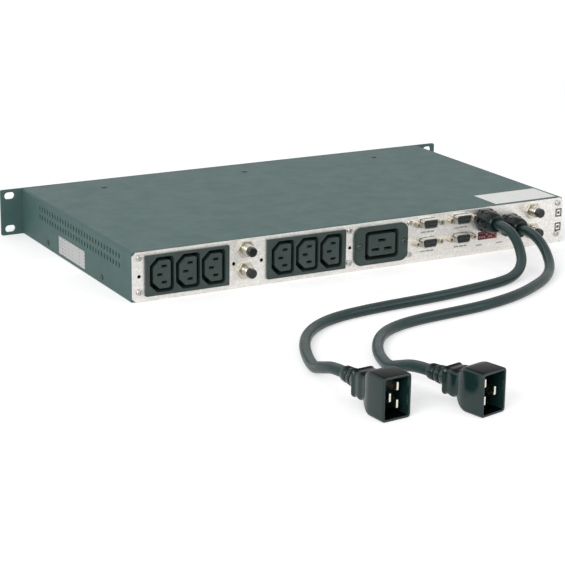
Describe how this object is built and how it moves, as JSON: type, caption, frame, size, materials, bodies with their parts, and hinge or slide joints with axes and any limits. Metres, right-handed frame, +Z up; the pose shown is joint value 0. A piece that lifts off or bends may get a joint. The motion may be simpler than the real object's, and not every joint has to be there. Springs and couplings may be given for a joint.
{
  "type": "rack static transfer switch",
  "caption": "Slim rack static transfer switch: shrouded plugs on captive mains cords, keyed outlets, reset breakers, signal ports and selector switches on a bare metal rear panel.",
  "frame": {"origin": "middle of the casing's underside", "axes": "+Z up, +Y out of the rear panel with the outlets, -Y out of the rack ears' front face, +X along the casing"},
  "size_m": [0.4826, 0.6086, 0.0446],
  "materials": {
    "tray": "satin grey-green paint",
    "cover_paint": "fine satin grey-green paint",
    "bare_panel": "bare satin metal",
    "outlet_plastic": "fine matt",
    "brass_contacts": "bright",
    "screws": "bright plated",
    "dark_screws": "painted with the cover",
    "breaker_metal": "plated bushing",
    "button_plastic": "semi-gloss",
    "port_metal": "tin plated",
    "insert_plastic": "matt",
    "red_plastic": "gloss",
    "slider_plastic": "matt",
    "black_nylon": "fine matt nylon",
    "cord_jacket": "soft satin jacket",
    "plug_rubber": "soft satin moulding",
    "blades": "plated brass",
    "board": "lacquered board",
    "relay_plastic": "gloss",
    "heat_sink": "extruded",
    "module_plastic": "matt",
    "lamp_lens": "clear tinted"
  },
  "bodies": {
    "casing": {"bottom_tray": "tray", "top_cover": "cover_paint", "front_panel": "cover_paint", "rear_panel": "bare_panel", "outlet_block_1": "outlet_plastic", "outlet_block_2": "outlet_plastic", "outlet_contacts": "brass_contacts", "high_current_outlet": "outlet_plastic", "high_current_contacts": "brass_contacts", "outlet_screws": "screws", "panel_screws": "screws", "cover_screws": "dark_screws", "breaker_body_1": "breaker_metal", "breaker_body_2": "breaker_metal", "breaker_body_3": "breaker_metal", "breaker_body_4": "breaker_metal", "breaker_nuts": "screws", "port_shell_1": "port_metal", "port_shell_2": "port_metal", "port_shell_3": "port_metal", "port_shell_4": "port_metal", "port_insert_1": "insert_plastic", "port_insert_2": "insert_plastic", "port_insert_3": "insert_plastic", "port_insert_4": "insert_plastic", "port_jackscrews": "screws", "selector_block": "red_plastic", "gland_body_1": "black_nylon", "gland_body_2": "black_nylon", "gland_dome_1": "black_nylon", "gland_dome_2": "black_nylon", "gland_locknuts": "black_nylon", "cord_1": "cord_jacket", "cord_2": "cord_jacket", "plug_body_1": "plug_rubber", "plug_body_2": "plug_rubber", "plug_blades_1": "blades", "plug_blades_2": "blades", "main_board": "board", "relays": "relay_plastic", "heat_sink_1": "heat_sink", "heat_sink_2": "heat_sink", "power_module_1": "module_plastic", "power_module_2": "module_plastic", "control_board": "board", "indicator_lamps": "lamp_lens"},
    "reset_1": {"reset_button_1": "button_plastic"},
    "reset_2": {"reset_button_2": "button_plastic"},
    "reset_3": {"reset_button_3": "button_plastic"},
    "reset_4": {"reset_button_4": "button_plastic"},
    "slider_1": {"slider_1": "slider_plastic"},
    "slider_2": {"slider_2": "slider_plastic"},
    "slider_3": {"slider_3": "slider_plastic"},
    "slider_4": {"slider_4": "slider_plastic"},
    "slider_5": {"slider_5": "slider_plastic"},
    "slider_6": {"slider_6": "slider_plastic"},
    "slider_7": {"slider_7": "slider_plastic"},
    "slider_8": {"slider_8": "slider_plastic"},
    "push_1": {"front_button_1": "button_plastic"},
    "push_2": {"front_button_2": "button_plastic"}
  },
  "joints": [
    {"name": "reset_1_travel", "type": "slide", "parent": "casing", "child": "reset_1", "axis": [0, 1, 0], "range_m": [0, 0.003]},
    {"name": "reset_2_travel", "type": "slide", "parent": "casing", "child": "reset_2", "axis": [0, 1, 0], "range_m": [0, 0.003]},
    {"name": "reset_3_travel", "type": "slide", "parent": "casing", "child": "reset_3", "axis": [0, 1, 0], "range_m": [0, 0.003]},
    {"name": "reset_4_travel", "type": "slide", "parent": "casing", "child": "reset_4", "axis": [0, 1, 0], "range_m": [0, 0.003]},
    {"name": "slider_1_travel", "type": "slide", "parent": "casing", "child": "slider_1", "axis": [0, 0, 1], "range_m": [0, 0.0019]},
    {"name": "slider_2_travel", "type": "slide", "parent": "casing", "child": "slider_2", "axis": [0, 0, 1], "range_m": [-0.0019, 0]},
    {"name": "slider_3_travel", "type": "slide", "parent": "casing", "child": "slider_3", "axis": [0, 0, 1], "range_m": [0, 0.0019]},
    {"name": "slider_4_travel", "type": "slide", "parent": "casing", "child": "slider_4", "axis": [0, 0, 1], "range_m": [0, 0.0019]},
    {"name": "slider_5_travel", "type": "slide", "parent": "casing", "child": "slider_5", "axis": [0, 0, 1], "range_m": [-0.0019, 0]},
    {"name": "slider_6_travel", "type": "slide", "parent": "casing", "child": "slider_6", "axis": [0, 0, 1], "range_m": [0, 0.0019]},
    {"name": "slider_7_travel", "type": "slide", "parent": "casing", "child": "slider_7", "axis": [0, 0, 1], "range_m": [0, 0.0019]},
    {"name": "slider_8_travel", "type": "slide", "parent": "casing", "child": "slider_8", "axis": [0, 0, 1], "range_m": [0, 0.0019]},
    {"name": "push_1_travel", "type": "slide", "parent": "casing", "child": "push_1", "axis": [0, 1, 0], "range_m": [0, 0.0015], "stiffness_N_per_m": 300, "springref_m": -0.0005},
    {"name": "push_2_travel", "type": "slide", "parent": "casing", "child": "push_2", "axis": [0, 1, 0], "range_m": [0, 0.0015], "stiffness_N_per_m": 300, "springref_m": -0.0005}
  ]
}
